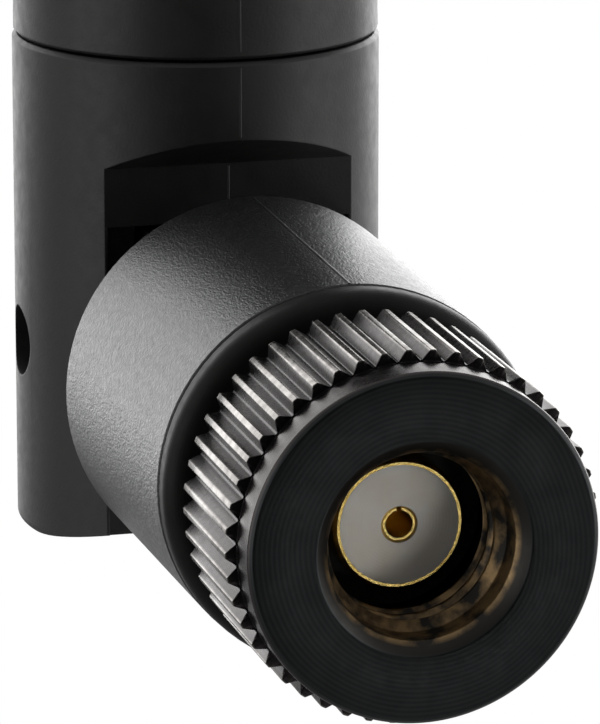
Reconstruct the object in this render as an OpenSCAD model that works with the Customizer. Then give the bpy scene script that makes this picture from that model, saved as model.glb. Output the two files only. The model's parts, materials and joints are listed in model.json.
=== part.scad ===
// Stick antenna with a tilting mast and a reverse-polarity SMA plug.
// The origin is the centre of the plug's reference plane, the front end of its outer conductor.
// +Y runs along the connector axis towards the elbow, and the mast stands along +Z, folded square.

/* [Mast] */
// Diameter of the yoke and of the foot of the radome
mast_d = 13.8; // [11.5:0.1:17]
// Height of the radome's tip above the hinge pins
mast_length = 163.5; // [134:0.5:200]
// Diameter of the radome just below its rounded tip
tip_d = 10.2; // [8.5:0.1:11.4]
// Wall of the radome
radome_wall = 1.3; // [1:0.05:1.6]
// Height of the ring joint between yoke and radome above the hinge pins
seam_height = 11.6; // [10.6:0.1:15]
// Width of the dark gap at the ring joint
seam_gap = 0.09; // [0.05:0.01:0.3]
// Length of the yoke's spigot inside the radome
spigot_length = 6; // [4:0.5:9]

/* [Yoke] */
// Depth of the flat on the front of the yoke
flat_cut = 1.85; // [1.5:0.05:2.3]
// Height of the top of the flat above the hinge pins
shoulder_height = 7.5; // [6.5:0.1:9]
// Angle at which the shoulder over the flat rises towards the front
shoulder_angle = 33; // [0:1:45]
// Height of the roof of the slot above the hinge pins
slot_height = 5.3; // [4.8:0.1:6.3]
// Drop of the foot of the ears below the hinge pins
yoke_drop = 7.2; // [6:0.1:8.6]
// Radius of the crowned underside of the foot, seen from the side
foot_crown_r = 18; // [14:0.5:30]
// Radius of the foot's rounded edge
foot_fillet = 0.3; // [0.1:0.05:0.5]
// Thickness of each ear on its centre line
ear_t = 3.5; // [3.2:0.1:3.8]
// Depth of the recess in the front of the ears, below the roof of the slot
recess_depth = 0.8; // [0.4:0.1:1.2]
// Least edge left on the flat beside the recess
recess_edge = 0.1; // [0.05:0.01:0.3]
// Least wall left behind the slot
rear_wall = 0.4; // [0.35:0.05:0.6]

/* [Hinge] */
// Diameter of the hinge pins
pin_d = 2.5; // [2:0.1:3]
// Depth of the pin's end below the side of the yoke
pin_sink = 1.2; // [0.8:0.1:1.4]
// Diameter of the recess over each pin
pin_recess_d = 2.66; // [2.6:0.02:3.6]
// Thickness of the friction washers
washer_t = 0.25; // [0.2:0.05:0.4]
// Outside diameter of the friction washers
washer_d = 6; // [4.6:0.1:7]
// Width of the cable slot in the tongue
cable_slot_w = 3; // [2.6:0.1:3.4]
// Gap between the swinging ears and the back of the barrel
barrel_gap = 0.2; // [0.15:0.05:0.6]

/* [Elbow] */
// Diameter of the barrel at its back edge
barrel_d = 13.94; // [11.6:0.02:16.8]
// Drop in diameter of the barrel from back to front
barrel_taper = 0.38; // [0:0.02:0.6]
// Length of the barrel
barrel_length = 13.67; // [12:0.01:16.5]
// Wall of the barrel at its mouth
barrel_wall = 1.3; // [1:0.05:1.5]
// Visible length of the front collar
collar_length = 1.15; // [0.9:0.05:1.5]
// Radius of the collar's rounded edge
collar_round = 0.7; // [0.3:0.05:0.8]
// Width of the parting groove between collar and barrel
groove_w = 0.08; // [0.04:0.01:0.2]

/* [Nut] */
// Diameter over the knurl
nut_d = 12.8; // [10.7:0.1:15.4]
// Number of knurl teeth
knurl_teeth = 48; // [36:2:60]
// Depth of the knurl
knurl_depth = 0.36; // [0.2:0.02:0.45]
// Share of the pitch taken by the flat crest of a tooth
knurl_crest = 0.24; // [0.1:0.02:0.5]
// Angle through which the nut stands turned
knurl_turn = 1.5; // [0:0.1:7.5]
// Length of the knurl
knurl_length = 5.8; // [5:0.1:7]
// Diameter of the plain nose in front of the knurl
nose_d = 11.98; // [9.9:0.02:12]
// Length of the nose
nose_length = 1.5; // [1:0.1:1.8]
// Chamfer round the front face
nose_chamfer = 0.16; // [0.1:0.02:0.4]
// Length of the plain tail behind the knurl
tail_length = 0.4; // [0.3:0.1:0.8]
// Diameter of the mouth of the bore
mouth_d = 7.36; // [6.6:0.02:8]
// Depth of the chamfer at the mouth
mouth_depth = 0.45; // [0.3:0.05:0.6]
// Diameter of the clear lead-in before the thread
lead_in_d = 6.4; // [6.36:0.02:6.5]
// Depth of the lead-in behind the front face
lead_in_depth = 1.3; // [1:0.05:1.5]
// Minor diameter of the thread
thread_minor_d = 5.7; // [5.6:0.01:5.8]
// Reach of the nut in front of the reference plane
nut_reach = 3.15; // [2.7:0.05:3.5]
// Gap between the tail of the nut and the front collar
nut_play = 0.5; // [0.3:0.05:0.9]

/* [Connector] */
// Diameter of the connector body behind the gasket
body_d = 6; // [5.8:0.05:6.2]
// Diameter of the outer conductor in front of the gasket
outer_conductor_d = 4.56; // [4.5:0.01:4.6]
// Diameter of the insulator
dielectric_d = 4.1; // [4.08:0.01:4.2]
// Diameter of the centre socket
contact_d = 1.27; // [1.2:0.01:1.3]
// Bore of the centre socket
socket_d = 0.94; // [0.93:0.01:0.96]
// Length of the outer conductor from its front end to the gasket's seat
seat_depth = 2.2; // [2:0.05:2.4]
// Thickness of the sealing gasket
gasket_t = 0.7; // [0.5:0.05:0.8]

/* [Cable] */
// Diameter over the cable's jacket
cable_d = 1.8; // [1.5:0.05:2.16]
// Diameter over the braid
braid_d = 1.35; // [1.12:0.01:1.4]
// Diameter over the inner insulation
core_d = 0.84; // [0.7:0.01:0.95]
// Diameter of the centre wire
wire_d = 0.3; // [0.25:0.01:0.36]
// Radius at which the cable bends round the hinge
bend_r = 6; // [5.8:0.1:6.4]

/* [Radiator] */
// Length of the quarter-wave sleeve
sleeve_length = 31; // [26:0.5:37]
// Outside diameter of the sleeve
sleeve_d = 7.2; // [6:0.1:8.6]
// Wall of the sleeve
sleeve_wall = 0.3; // [0.25:0.05:0.4]
// Diameter of the radiator wire
radiator_wire_d = 1.2; // [1:0.1:1.4]
// Length of the straight wire below the coil
lower_wire_length = 26; // [22:0.5:31]
// Mean diameter of the phasing coil
coil_d = 5.2; // [4.4:0.1:5.8]
// Number of turns of the phasing coil
coil_turns = 5; // [3:1:7]
// Pitch of the phasing coil
coil_pitch = 2; // [1.8:0.1:2.4]
// Space left between the radiator's tip and the radome's tip
tip_space = 12; // [8:0.5:20]

/* [Hidden] */

$fn = 96;
over = 1;            // how far a cutting shape runs past what it cuts
run_fit = 0.05;      // radial clearance of a running fit
side_gap = 0.05;     // clearance on each face of a washer or flange
free_gap = 0.3;      // clearance round a piece that swings free

// colours of the materials
black_plastic = [0.09, 0.09, 0.09];
satin_plastic = [0.12, 0.12, 0.12];
black_nickel = [0.16, 0.16, 0.17];
gold = [0.86, 0.67, 0.27];
steel = [0.62, 0.62, 0.64];
brass = [0.78, 0.62, 0.32];
copper = [0.78, 0.45, 0.27];
ptfe = [0.88, 0.87, 0.85];
foam = [0.8, 0.8, 0.76];
rubber = [0.07, 0.06, 0.06];

// radii
mast_r = mast_d / 2;
radome_r = mast_r - 0.04;
tip_r = tip_d / 2;
barrel_r = barrel_d / 2;
barrel_front_r = barrel_r - barrel_taper / 2;
body_r = body_d / 2;
pin_r = pin_d / 2;
cable_r = cable_d / 2;

// places along the connector axis
nut_front_y = -nut_reach;
knurl_front_y = nut_front_y + nose_length;
knurl_back_y = knurl_front_y + knurl_length;
nut_back_y = knurl_back_y + tail_length;
collar_front_y = nut_back_y + nut_play;
collar_back_y = collar_front_y + collar_length;
barrel_front_y = collar_back_y + groove_w;
barrel_back_y = barrel_front_y + barrel_length;

// the yoke in plan, and the sweep of its front corner about the pins
flat_y = -(mast_r - flat_cut);
slot_half = mast_r - ear_t;
slot_back_y = sqrt(pow(mast_r - rear_wall, 2) - pow(slot_half, 2));
foot_corner_drop = yoke_drop - foot_crown_r + sqrt(pow(foot_crown_r, 2) - pow(flat_y, 2));
ear_sweep_r = norm([flat_y, foot_corner_drop]);
recess_half = sqrt(pow(mast_r, 2) - pow(flat_y, 2)) - recess_edge;
pivot_y = barrel_back_y + barrel_gap + ear_sweep_r;

// the tongue fills the slot but for the washers and the clearance
tongue_half = slot_half - washer_t - 2 * side_gap;
tongue_r = min(slot_back_y, slot_height) - free_gap;
cable_slot_half = cable_slot_w / 2;

// the swivel: a flange on the connector body, held in the barrel by the collar's spigot
counterbore_r = barrel_front_r - barrel_wall;
collar_spigot = 1.5;
flange_t = 1.5;
flange_r = counterbore_r - free_gap;
flange_front_y = collar_back_y + collar_spigot + side_gap;
flange_back_y = flange_front_y + flange_t;
counterbore_floor_y = flange_back_y + side_gap;
barrel_back_wall = 2;
barrel_bore_r = body_r;
cable_hole_r = cable_r + 0.7;

// the nut's bore
mouth_r = mouth_d / 2;
thread_minor_r = thread_minor_d / 2;
lead_in_r = lead_in_d / 2;
thread_end_y = -0.1;
undercut_r = thread_minor_r + 0.45;
undercut_end_y = 2.6;
ring_groove_y = 2.85;
ring_t = 0.4;
ring_outer_r = body_r + 0.4;
ring_inner_r = body_r - 0.3;

// the crimp at the back of the connector
insulator_end_y = flange_front_y;
neck_r = core_d / 2 + 0.43;
neck_length = 3.5;
neck_end_y = flange_back_y + neck_length;
core_hole_r = core_d / 2 + 0.03;
contact_front_y = 0.05;
contact_back_y = insulator_end_y - 0.6;
wire_front_y = contact_back_y - 2;
braid_t = (braid_d - core_d) / 2;
flare_r = neck_r + braid_t;
jacket_front_y = neck_end_y + 0.2;
ferrule_r = max(flare_r, cable_r) + 0.4;
ferrule_end_y = jacket_front_y + 2.2;
shrink_r = ferrule_r + 0.3;
bend_start_y = pivot_y - bend_r;

// places up the mast, measured from the pins
foot_z = -yoke_drop;
radome_foot_z = seam_height + seam_gap;
spigot_r = mast_r - radome_wall - 0.15;
spigot_top_z = seam_height + spigot_length;
bush_z = shoulder_height + 1.5;
bush_r = spigot_r - 1.2;
sleeve_z = spigot_top_z + 4.4;
sleeve_r = sleeve_d / 2;
sleeve_top_z = sleeve_z + sleeve_length;
cap_t = 0.8;
strip_z = sleeve_top_z - 3;
braid_top_z = sleeve_top_z + 0.5;
core_top_z = braid_top_z + 1;
radiator_z = core_top_z + 0.5;
coil_z = radiator_z + lower_wire_length;
coil_length = coil_turns * coil_pitch;
radiator_top_z = mast_length - tip_space;
tip_round = 2.6;
tip_wall = 1.8;
former_r = coil_d / 2 - radiator_wire_d / 2 - 0.1;
spacer_length = 4;
top_spacer_z = radiator_top_z - 10;

// radius of the radome's outside at a height above the pins
function radome_outer_r(z) =
  radome_r - (radome_r - tip_r) * (z - radome_foot_z) / (mast_length - tip_round - radome_foot_z);
// radius of the space inside the radome, above the spigot's socket
function cavity_r(z) = radome_outer_r(z) - radome_wall;

// points of an arc about a centre
function arc(centre, r, from, to, steps = 10) =
  [for (i = [0 : steps]) let (a = from + (to - from) * i / steps) centre + r * [cos(a), sin(a)]];

// turns a shape that was built along +Z to run along +Y
module along_y(y = 0) {
  translate([0, y, 0]) rotate([-90, 0, 0]) children();
}

// a round solid about the connector axis, from points of radius and place along Y
module turned_y(points) {
  rotate([-90, 0, 0]) rotate_extrude() polygon(points);
}

// a plain tube or disc about the connector axis
module tube_y(from, to, outer_r, inner_r) {
  along_y(from) difference() {
    cylinder(h = to - from, r = outer_r);
    translate([0, 0, -over]) cylinder(h = to - from + 2 * over, r = inner_r);
  }
}

// a plain tube about the mast axis, at heights above the pins
module tube_z(from, to, outer_r, inner_r) {
  translate([0, pivot_y, from]) difference() {
    cylinder(h = to - from, r = outer_r);
    translate([0, 0, -over]) cylinder(h = to - from + 2 * over, r = inner_r);
  }
}

module rod_y(from, to, r) {
  along_y(from) cylinder(h = to - from, r = r);
}

module rod_z(from, to, r) {
  translate([0, pivot_y, from]) cylinder(h = to - from, r = r);
}

// a bore through both sides of the hinge
module pin_bore(r) {
  translate([-mast_r - over, 0, 0]) rotate([0, 90, 0]) cylinder(h = 2 * (mast_r + over), r = r);
}

module radome() {
  socket_r = spigot_r + run_fit;
  socket_top_z = spigot_top_z + 0.3;
  cavity_top_z = mast_length - tip_wall;
  color(black_plastic) translate([0, pivot_y, 0]) rotate_extrude() polygon(concat(
    [[socket_r, radome_foot_z], [radome_r - 0.12, radome_foot_z], [radome_r, radome_foot_z + 0.12]],
    arc([tip_r - tip_round, mast_length - tip_round], tip_round, 0, 90),
    [[0, mast_length], [0, cavity_top_z], [cavity_r(cavity_top_z) - 1.2, cavity_top_z]],
    [[cavity_r(cavity_top_z - 1.2), cavity_top_z - 1.2], [cavity_r(socket_top_z), socket_top_z]],
    [[socket_r, socket_top_z]]
  ));
}

// outline of the yoke's outside, radius against height
module yoke_outline() {
  edge = 0.15;
  polygon(concat(
    [[0, foot_z]],
    arc([mast_r - foot_fillet, foot_z + foot_fillet], foot_fillet, -90, 0),
    [[mast_r, seam_height - edge], [mast_r - edge, seam_height]],
    [[spigot_r, seam_height], [spigot_r, spigot_top_z - 0.4], [spigot_r - 0.4, spigot_top_z]],
    [[0, spigot_top_z]]
  ));
}

// the space in front of the flat, under the sloped shoulder
module front_flat() {
  far_y = -mast_r - over;
  rise = (flat_y - far_y) * tan(shoulder_angle);
  translate([-mast_r - over, 0, 0]) rotate([90, 0, 90]) linear_extrude(2 * (mast_r + over)) polygon([
    [flat_y, foot_z - over],
    [flat_y, shoulder_height],
    [far_y, shoulder_height + rise],
    [far_y, foot_z - over]
  ]);
}

// what lies below the crowned underside of the foot
module below_crown() {
  difference() {
    translate([-mast_r - over, -mast_r - over, foot_z - over])
      cube([2 * (mast_r + over), 2 * (mast_r + over), yoke_drop + over]);
    translate([0, 0, foot_z + foot_crown_r]) pin_bore(foot_crown_r);
  }
}

module yoke() {
  color(black_plastic) translate([0, pivot_y, 0]) difference() {
    rotate_extrude() yoke_outline();
    front_flat();
    translate([-slot_half, -mast_r - over, foot_z - over])
      cube([2 * slot_half, mast_r + over + slot_back_y, yoke_drop + over + slot_height]);
    translate([-recess_half, -mast_r - over, foot_z - over])
      cube([2 * recess_half, mast_r + over + flat_y + recess_depth, yoke_drop + over + slot_height]);
    below_crown();
    pin_bore(pin_r);
    for (side = [-1, 1])
      rotate([0, side * 90, 0]) translate([0, 0, mast_r - pin_sink])
        cylinder(h = pin_sink + over, r = pin_recess_d / 2);
    translate([0, 0, slot_height - over])
      cylinder(h = bush_z - slot_height + 2 * over, r = cable_hole_r);
    translate([0, 0, bush_z]) cylinder(h = spigot_top_z - bush_z + over, r = bush_r);
  }
}

// side is -1 for the left pin and 1 for the right one
module hinge_pin(side) {
  length = mast_r - pin_sink - cable_slot_half - 0.1;
  edge = 0.2;
  color(steel) translate([0, pivot_y, 0]) rotate([0, side * 90, 0])
    translate([0, 0, mast_r - pin_sink - length]) {
      cylinder(h = edge, r1 = pin_r - edge, r2 = pin_r);
      translate([0, 0, edge]) cylinder(h = length - 2 * edge, r = pin_r);
      translate([0, 0, length - edge]) cylinder(h = edge, r1 = pin_r, r2 = pin_r - edge);
    }
}

module friction_washer(side) {
  color(ptfe) translate([0, pivot_y, 0]) rotate([0, side * 90, 0])
    translate([0, 0, tongue_half + side_gap]) difference() {
      cylinder(h = washer_t, d = washer_d);
      translate([0, 0, -over]) cylinder(h = washer_t + 2 * over, r = pin_r + run_fit);
    }
}

module elbow() {
  back_edge = 0.12;
  front_edge = 0.06;
  color(satin_plastic) difference() {
    union() {
      turned_y([
        [0, barrel_front_y],
        [barrel_front_r - front_edge, barrel_front_y],
        [barrel_front_r, barrel_front_y + front_edge],
        [barrel_r, barrel_back_y - back_edge],
        [barrel_r - back_edge, barrel_back_y],
        [0, barrel_back_y]
      ]);
      translate([-tongue_half, barrel_back_y - over, -tongue_r])
        cube([2 * tongue_half, pivot_y - barrel_back_y + over, 2 * tongue_r]);
      translate([-tongue_half, pivot_y, 0]) rotate([0, 90, 0])
        cylinder(h = 2 * tongue_half, r = tongue_r);
    }
    rod_y(barrel_front_y - over, counterbore_floor_y, counterbore_r);
    rod_y(counterbore_floor_y - over, barrel_back_y - barrel_back_wall, barrel_bore_r);
    rod_y(barrel_back_y - barrel_back_wall - over, bend_start_y, cable_hole_r);
    translate([-cable_slot_half, bend_start_y - 0.5, -cable_slot_half])
      cube([cable_slot_w, bend_r + tongue_r + 0.5 + over, tongue_r + cable_slot_half + over]);
    translate([0, pivot_y, 0]) pin_bore(pin_r + run_fit);
  }
}

module front_collar() {
  collar_r = barrel_front_r - 0.03;
  bore_r = body_r + run_fit;
  color(satin_plastic) turned_y(concat(
    [[bore_r, collar_front_y]],
    arc([collar_r - collar_round, collar_front_y + collar_round], collar_round, -90, 0),
    [[collar_r, collar_back_y - 0.06], [collar_r - 0.06, collar_back_y]],
    [[counterbore_r, collar_back_y], [counterbore_r, collar_back_y + collar_spigot]],
    [[bore_r, collar_back_y + collar_spigot]]
  ));
}

// cross-section of the knurl: trapezoid teeth with flat crests
module knurl_section() {
  crest_r = nut_d / 2;
  root_r = crest_r - knurl_depth;
  pitch = 360 / knurl_teeth;
  crest = pitch * knurl_crest / 2;
  root = pitch * 0.06;
  polygon([
    for (i = [0 : knurl_teeth - 1])
      for (corner = [[root_r, -pitch / 2 + root], [crest_r, -crest], [crest_r, crest],
                     [root_r, pitch / 2 - root]])
        corner[0] * [cos(i * pitch + corner[1]), sin(i * pitch + corner[1])]
  ]);
}

module coupling_nut() {
  nose_r = nose_d / 2;
  tail_r = nut_d / 2 - knurl_depth - 0.1;
  bore_r = body_r + run_fit;
  lead_in_slope = lead_in_r - thread_minor_r;
  color(black_nickel) difference() {
    union() {
      along_y(nut_front_y) cylinder(h = nose_chamfer, r1 = nose_r - nose_chamfer, r2 = nose_r);
      rod_y(nut_front_y + nose_chamfer, knurl_front_y + over, nose_r);
      along_y(knurl_front_y) rotate(-knurl_turn) linear_extrude(knurl_length) knurl_section();
      rod_y(knurl_back_y - over, nut_back_y, tail_r);
    }
    rod_y(nut_front_y - over, nut_front_y, mouth_r);
    along_y(nut_front_y) cylinder(h = mouth_depth, r1 = mouth_r, r2 = lead_in_r);
    rod_y(nut_front_y, nut_front_y + lead_in_depth, lead_in_r);
    along_y(nut_front_y + lead_in_depth)
      cylinder(h = lead_in_slope, r1 = lead_in_r, r2 = thread_minor_r);
    rod_y(nut_front_y, thread_end_y + over, thread_minor_r);
    rod_y(thread_end_y, undercut_end_y, undercut_r);
    rod_y(undercut_end_y - 0.1, nut_back_y + over, bore_r);
    rod_y(ring_groove_y - side_gap, ring_groove_y + ring_t + side_gap, ring_outer_r + run_fit);
  }
}

module retaining_ring() {
  gap_w = 1.2;
  color(steel) difference() {
    tube_y(ring_groove_y, ring_groove_y + ring_t, ring_outer_r, ring_inner_r);
    translate([-gap_w / 2, ring_groove_y - over, -ring_outer_r - over])
      cube([gap_w, ring_t + 2 * over, ring_outer_r + over]);
  }
}

module sealing_gasket() {
  color(rubber) tube_y(seat_depth - gasket_t, seat_depth, undercut_r - 0.1, outer_conductor_d / 2);
}

module connector_body() {
  lip = 0.13;
  front_r = outer_conductor_d / 2;
  insulator_r = dielectric_d / 2;
  color(gold) turned_y([
    [insulator_r, 0],
    [front_r - lip, 0],
    [front_r, lip],
    [front_r, seat_depth],
    [body_r, seat_depth],
    [body_r, ring_groove_y],
    [ring_inner_r, ring_groove_y],
    [ring_inner_r, ring_groove_y + ring_t],
    [body_r, ring_groove_y + ring_t],
    [body_r, flange_front_y],
    [flange_r, flange_front_y],
    [flange_r, flange_back_y],
    [neck_r, flange_back_y],
    [neck_r, neck_end_y],
    [core_hole_r, neck_end_y],
    [core_hole_r, insulator_end_y],
    [insulator_r, insulator_end_y]
  ]);
}

module dielectric_insert() {
  color(ptfe) difference() {
    rod_y(0, insulator_end_y, dielectric_d / 2);
    rod_y(-over, contact_back_y, contact_d / 2);
    rod_y(contact_back_y - over, insulator_end_y + over, core_d / 2);
  }
}

module socket_contact() {
  contact_r = contact_d / 2;
  lip = 0.08;
  socket_depth = 3.4;
  slit_w = 0.16;
  color(gold) difference() {
    turned_y([
      [0, contact_front_y],
      [contact_r - lip, contact_front_y],
      [contact_r, contact_front_y + lip],
      [contact_r, contact_back_y],
      [0, contact_back_y]
    ]);
    rod_y(contact_front_y - over, contact_front_y + socket_depth, socket_d / 2);
    rod_y(wire_front_y, contact_back_y + over, wire_d / 2);
    translate([-slit_w / 2, contact_front_y - over, 0])
      cube([slit_w, over + 0.6 * socket_depth, contact_r + over]);
  }
}

module crimp_ferrule() {
  color(copper) difference() {
    rod_y(flange_back_y + 0.15, ferrule_end_y, ferrule_r);
    rod_y(flange_back_y - over, jacket_front_y, flare_r);
    rod_y(jacket_front_y - over, ferrule_end_y + over, cable_r);
  }
}

module ferrule_sleeve() {
  color(rubber) difference() {
    rod_y(flange_back_y + 0.4, ferrule_end_y + 1.6, shrink_r);
    rod_y(flange_back_y - over, ferrule_end_y, ferrule_r);
    rod_y(ferrule_end_y - over, ferrule_end_y + 1.6 + over, cable_r);
  }
}

module cable_braid_front() {
  color(copper) tube_y(flange_back_y + 0.3, jacket_front_y, flare_r, neck_r);
}

module cable_core_front() {
  color(ptfe) tube_y(contact_back_y, jacket_front_y, core_d / 2, wire_d / 2);
}

module cable_wire_front() {
  color(copper) rod_y(wire_front_y, jacket_front_y, wire_d / 2);
}

module cable_elbow() {
  color(rubber) rod_y(jacket_front_y, bend_start_y, cable_r);
}

// a quarter turn from the connector axis up to the mast axis
module cable_hinge() {
  color(rubber) translate([0, bend_start_y, bend_r]) rotate([90, 90, 90])
    rotate_extrude(angle = 90) translate([bend_r, 0]) circle(r = cable_r, $fn = 48);
}

module cable_bush() {
  color(satin_plastic) tube_z(bush_z, bush_z + 4, bush_r, cable_r);
}

module cable_mast() {
  color(rubber) rod_z(bend_r, strip_z, cable_r);
}

module cable_braid_top() {
  color(copper) tube_z(strip_z, braid_top_z, braid_d / 2, core_d / 2);
}

module cable_core_top() {
  color(ptfe) tube_z(strip_z, core_top_z, core_d / 2, wire_d / 2);
}

module cable_wire_top() {
  color(copper) rod_z(strip_z, radiator_z, wire_d / 2);
}

module lower_sleeve() {
  color(brass) tube_z(sleeve_z, sleeve_top_z, sleeve_r, sleeve_r - sleeve_wall);
}

module sleeve_cap() {
  color(brass) tube_z(sleeve_top_z - cap_t, sleeve_top_z, sleeve_r - sleeve_wall, braid_d / 2);
}

// centre line of the radiator: straight, then out to the coil, round it, and back to the axis
ramp_turns = 0.5;
steps_per_turn = 20;
ramp_height = 1.2;
function smooth(t) = t * t * (3 - 2 * t);
function coil_point(turn) =
  let (
    span = coil_turns + 2 * ramp_turns,
    out = smooth(min(1, turn / ramp_turns)) * smooth(min(1, (span - turn) / ramp_turns)),
    height = coil_length * max(0, min(1, (turn - ramp_turns) / coil_turns))
           + ramp_height * (min(1, turn / ramp_turns) + 1 - min(1, (span - turn) / ramp_turns))
  )
  [coil_d / 2 * out * cos(360 * turn), coil_d / 2 * out * sin(360 * turn), height];
coil_steps = (coil_turns + 2 * ramp_turns) * steps_per_turn;
coil_line = [for (i = [0 : coil_steps]) coil_point(i / steps_per_turn) + [0, 0, coil_z]];
radiator_line = concat(
  [[0, 0, radiator_z]],
  coil_line,
  [[0, 0, radiator_top_z]]
);

// direction of the line at a point, and a ring of points round it
function line_direction(line, i) =
  let (
    before = line[max(0, i - 1)],
    after = line[min(len(line) - 1, i + 1)]
  )
  (after - before) / norm(after - before);
function outward(line, i) =
  let (
    turn = max(0, min(coil_steps, i - 1)) / steps_per_turn,
    radial = [cos(360 * turn), sin(360 * turn), 0],
    direction = line_direction(line, i),
    square_on = radial - (radial * direction) * direction
  )
  square_on / norm(square_on);
function ring(line, i, r, sides) =
  let (
    n = outward(line, i),
    b = cross(line_direction(line, i), n)
  )
  [for (j = [0 : sides - 1]) line[i] + r * (cos(360 * j / sides) * n + sin(360 * j / sides) * b)];

module swept_wire(line, r, sides = 10) {
  last = len(line) - 1;
  points = [for (i = [0 : last]) each ring(line, i, r, sides)];
  walls = [
    for (i = [0 : last - 1])
      for (j = [0 : sides - 1])
        let (k = (j + 1) % sides)
        [i * sides + j, (i + 1) * sides + j, (i + 1) * sides + k, i * sides + k]
  ];
  bottom = [for (j = [0 : sides - 1]) j];
  top = [for (j = [sides - 1 : -1 : 0]) last * sides + j];
  polyhedron(points = points, faces = concat([bottom, top], walls));
}

module radiator() {
  color(copper) translate([0, pivot_y, 0]) swept_wire(radiator_line, radiator_wire_d / 2);
}

module coil_former() {
  from = coil_z + ramp_height + 1.2;
  to = coil_z + ramp_height + coil_length - 1.2;
  color(ptfe) rod_z(from, to, former_r);
}

module sleeve_spacer() {
  from = sleeve_z + 4;
  color(foam) tube_z(from, from + spacer_length, cavity_r(from + spacer_length) - side_gap, sleeve_r);
}

module top_spacer() {
  color(foam) tube_z(
    top_spacer_z, top_spacer_z + spacer_length,
    cavity_r(top_spacer_z + spacer_length) - side_gap, radiator_wire_d / 2
  );
}

radome();
yoke();
hinge_pin(-1);  // hinge_pin_left
hinge_pin(1);  // hinge_pin_right
friction_washer(-1);  // friction_washer_left
friction_washer(1);  // friction_washer_right
elbow();
front_collar();
coupling_nut();
retaining_ring();
sealing_gasket();
connector_body();
dielectric_insert();
socket_contact();
crimp_ferrule();
ferrule_sleeve();
cable_braid_front();
cable_core_front();
cable_wire_front();
cable_elbow();
cable_hinge();
cable_bush();
cable_mast();
cable_braid_top();
cable_core_top();
cable_wire_top();
lower_sleeve();
sleeve_cap();
radiator();
coil_former();
sleeve_spacer();
top_spacer();
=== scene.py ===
import json
import math

import bpy
import numpy as np
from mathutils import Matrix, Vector


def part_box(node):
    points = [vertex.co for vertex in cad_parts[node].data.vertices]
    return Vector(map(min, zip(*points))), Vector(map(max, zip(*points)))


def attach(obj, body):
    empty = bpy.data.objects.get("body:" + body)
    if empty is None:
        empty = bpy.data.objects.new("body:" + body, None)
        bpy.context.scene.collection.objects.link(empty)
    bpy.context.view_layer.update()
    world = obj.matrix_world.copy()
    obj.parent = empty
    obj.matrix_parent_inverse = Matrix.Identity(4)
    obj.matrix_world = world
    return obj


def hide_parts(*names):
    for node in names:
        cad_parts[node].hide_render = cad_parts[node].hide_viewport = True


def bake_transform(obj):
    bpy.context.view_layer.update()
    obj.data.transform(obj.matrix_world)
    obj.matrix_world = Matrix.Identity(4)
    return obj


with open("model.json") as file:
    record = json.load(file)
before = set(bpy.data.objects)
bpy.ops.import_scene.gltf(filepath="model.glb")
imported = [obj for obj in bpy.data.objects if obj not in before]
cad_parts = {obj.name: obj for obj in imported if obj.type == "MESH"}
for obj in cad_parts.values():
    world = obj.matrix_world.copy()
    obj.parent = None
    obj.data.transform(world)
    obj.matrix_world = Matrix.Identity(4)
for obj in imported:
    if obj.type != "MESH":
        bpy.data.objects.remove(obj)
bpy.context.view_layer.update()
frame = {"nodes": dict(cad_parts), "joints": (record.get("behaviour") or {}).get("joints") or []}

MM = 0.001
nodes = frame["nodes"]


# ---------------------------------------------------------------- camera
# A long lens about 20 cm from the hinge, a little to the left of the plug and above it, looking into
# the nut. The mast runs out of the top of the frame.
CAMERA_AZIMUTH = -14.78
CAMERA_ELEVATION = 14.11
CAMERA_DISTANCE = 209.56 * MM
AIM_ASIDE = 3.93 * MM
AIM_BELOW = 1.277 * MM
LENS = 273.5
SENSOR = 36.0

tilt_joint = next(joint for joint in frame["joints"] if joint["name"] == "mast_tilt")
hinge = Vector(tilt_joint["pos_m"])
azimuth = math.radians(CAMERA_AZIMUTH)
elevation = math.radians(CAMERA_ELEVATION)
towards_camera = Vector((
    math.sin(azimuth) * math.cos(elevation),
    -math.cos(azimuth) * math.cos(elevation),
    math.sin(elevation),
))
aside = Vector((0, 0, 1)).cross(towards_camera).normalized()
upward = towards_camera.cross(aside)

camera = bpy.data.objects.new("camera", bpy.data.cameras.new("camera"))
bpy.context.scene.collection.objects.link(camera)
camera.data.lens = LENS
camera.data.sensor_width = SENSOR
camera.data.clip_start = 0.01
camera.location = hinge + aside * AIM_ASIDE - upward * AIM_BELOW + towards_camera * CAMERA_DISTANCE
camera.rotation_euler = towards_camera.to_track_quat("Z", "Y").to_euler()
bpy.context.scene.camera = camera
bpy.context.scene.view_settings.view_transform = "Standard"


# ---------------------------------------------------------------- studio
# A pale table under a bright backdrop: the light comes from behind and from both sides, and the room in
# front is dim.
# The camera sees the table plain white. All other rays see it grey, which is painted shade near the
# plug, with a painted glow on its far part that stands in for the light falling there. A fill in front
# lifts only the matt surfaces, and a small card puts the bright line on the gold ring.
TABLE_DROP = 0.19
TABLE_SIZE = 4.0
TABLE_FRONT = -0.30
# painted shade: the grey that every ray except the camera's sees, standing in for the shade near the
# plug
TABLE_PAINTED_SHADE_GREY = (0.34, 0.34, 0.34, 1.0)
TABLE_ROUGHNESS = 0.8
# painted glow: the table's own light grows with the distance behind the plug, less a share of the
# distance aside
TABLE_PAINTED_GLOW = 2.3
TABLE_PAINTED_GLOW_FROM = 0.50
TABLE_PAINTED_GLOW_TO = 0.85
TABLE_PAINTED_GLOW_LOST_ASIDE = 0.5
BACKDROP_STRENGTH = 2.35
# share of the backdrop's light that comes from each way, from the front round to the back
ROOM_LIGHT = [(0.0, 0.012), (0.16, 0.05), (0.34, 0.22), (0.74, 0.32), (0.95, 1.0)]
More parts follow.
